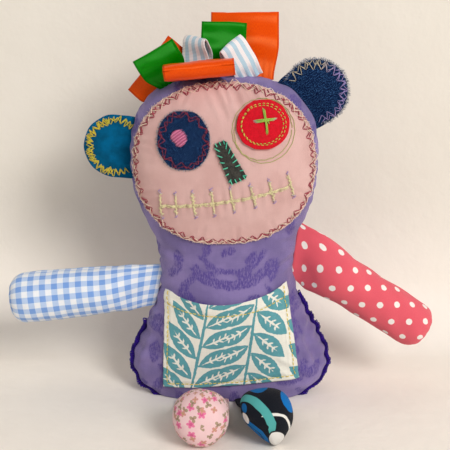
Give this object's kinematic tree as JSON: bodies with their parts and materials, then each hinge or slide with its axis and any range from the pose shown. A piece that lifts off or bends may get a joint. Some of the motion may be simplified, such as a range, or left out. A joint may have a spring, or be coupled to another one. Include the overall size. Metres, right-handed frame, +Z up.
{
  "type": "stuffed rag doll",
  "caption": "Hand-sewn stuffed rag doll that sits with its legs forward: pillow body, patchwork face, ribbon-loop hair, front pocket, soft ears and tube arms and legs.",
  "frame": {"origin": "on the flat the doll sits on, midway between the lower side seams, in the plane of the upper side seams", "axes": "+Z up, the doll faces -Y, +X is on the right of someone looking at its face"},
  "size_m": [0.2472, 0.1197, 0.2183],
  "materials": {
    "purple_cotton": "matte cotton, tone-on-tone print",
    "pink_cotton": "matte cotton",
    "fibre_filling": "loose polyester fibre",
    "denim": "matte twill",
    "red_felt": "matte felt",
    "grey_felt": "matte felt",
    "burgundy_thread": "soft sheen thread",
    "cream_thread": "soft sheen thread",
    "green_thread": "soft sheen thread",
    "violet_thread": "soft sheen thread",
    "pink_thread": "satin-stitched thread",
    "pocket_print": "matte printed cotton",
    "turquoise_cotton": "matte cotton",
    "orange_satin": "satin ribbon",
    "green_satin": "satin ribbon",
    "striped_ribbon": "grosgrain ribbon",
    "gingham_cotton": "matte checked cotton",
    "dotted_cotton": "matte dotted cotton",
    "floral_cotton": "matte flowered cotton",
    "bold_print_cotton": "matte printed cotton"
  },
  "bodies": {
    "body": {"body_filling": "fibre_filling", "body_front_panel": "purple_cotton", "body_back_panel": "purple_cotton", "face_panel": "pink_cotton", "face_edge_stitching": "burgundy_thread", "denim_eye_patch": "denim", "denim_eye_edge_stitching": "burgundy_thread", "denim_eye_pupil": "pink_thread", "felt_eye_disc": "red_felt", "felt_eye_ring_stitching": "green_thread", "felt_eye_outer_stitching": "green_thread", "felt_eye_cross_stitch": "green_thread", "nose_patch": "grey_felt", "mouth_stitching": "cream_thread", "pocket": "pocket_print", "pocket_stitching": "green_thread", "seam_edging_left": "violet_thread", "seam_edging_right": "violet_thread", "ribbon_orange_large": "orange_satin", "ribbon_green_rear": "green_satin", "ribbon_striped_right": "striped_ribbon", "ribbon_striped_left": "striped_ribbon", "ribbon_orange_front": "orange_satin", "ribbon_green_left": "green_satin", "ribbon_orange_side": "orange_satin"},
    "gingham_shoulder": {"gingham_arm_shoulder_seam": "gingham_cotton"},
    "gingham_arm": {"gingham_arm_cover": "gingham_cotton", "gingham_arm_filling": "fibre_filling"},
    "dotted_shoulder": {"dotted_arm_shoulder_seam": "dotted_cotton"},
    "dotted_arm": {"dotted_arm_cover": "dotted_cotton", "dotted_arm_filling": "fibre_filling"},
    "floral_leg": {"floral_leg_cover": "floral_cotton", "floral_leg_filling": "fibre_filling"},
    "printed_leg": {"printed_leg_cover": "bold_print_cotton", "printed_leg_filling": "fibre_filling"},
    "turquoise_ear": {"turquoise_ear_front": "turquoise_cotton", "turquoise_ear_back": "turquoise_cotton"},
    "denim_ear": {"denim_ear_front": "denim", "denim_ear_back": "denim"}
  },
  "joints": [
    {"name": "gingham_arm_swing", "type": "hinge", "parent": "body", "child": "gingham_shoulder", "pos_m": [-0.04052, 0, 0.06267], "axis": [0.2006, 0, 0.9797], "range_deg": [-50, 50], "stiffness_Nm_per_rad": 0.05},
    {"name": "gingham_arm_raise", "type": "hinge", "parent": "gingham_shoulder", "child": "gingham_arm", "pos_m": [-0.04135, 0, 0.06284], "axis": [0, 1, 0], "range_deg": [-10, 15], "stiffness_Nm_per_rad": 0.1},
    {"name": "dotted_arm_swing", "type": "hinge", "parent": "body", "child": "dotted_shoulder", "pos_m": [0.04109, 0, 0.08329], "axis": [0.1331, 0, 0.9911], "range_deg": [-45, 45], "stiffness_Nm_per_rad": 0.05},
    {"name": "dotted_arm_raise", "type": "hinge", "parent": "dotted_shoulder", "child": "dotted_arm", "pos_m": [0.04193, 0, 0.08317], "axis": [0, 1, 0], "range_deg": [-15, 3], "stiffness_Nm_per_rad": 0.1},
    {"name": "floral_leg_fold", "type": "hinge", "parent": "body", "child": "floral_leg", "pos_m": [-0.0132, -0.02653, 0.0022], "axis": [1, 0, 0], "range_deg": [-35, 95]},
    {"name": "printed_leg_fold", "type": "hinge", "parent": "body", "child": "printed_leg", "pos_m": [0.0206, -0.02653, 0.0022], "axis": [1, 0, 0], "range_deg": [-35, 95]},
    {"name": "turquoise_ear_bend", "type": "hinge", "parent": "body", "child": "turquoise_ear", "pos_m": [-0.05424, 0, 0.14401], "axis": [0.1305, 0, 0.9914], "range_deg": [-35, 35], "stiffness_Nm_per_rad": 0.02},
    {"name": "denim_ear_bend", "type": "hinge", "parent": "body", "child": "denim_ear", "pos_m": [0.0436, 0, 0.17085], "axis": [-0.6046, 0, 0.7965], "range_deg": [-35, 35], "stiffness_Nm_per_rad": 0.02}
  ]
}
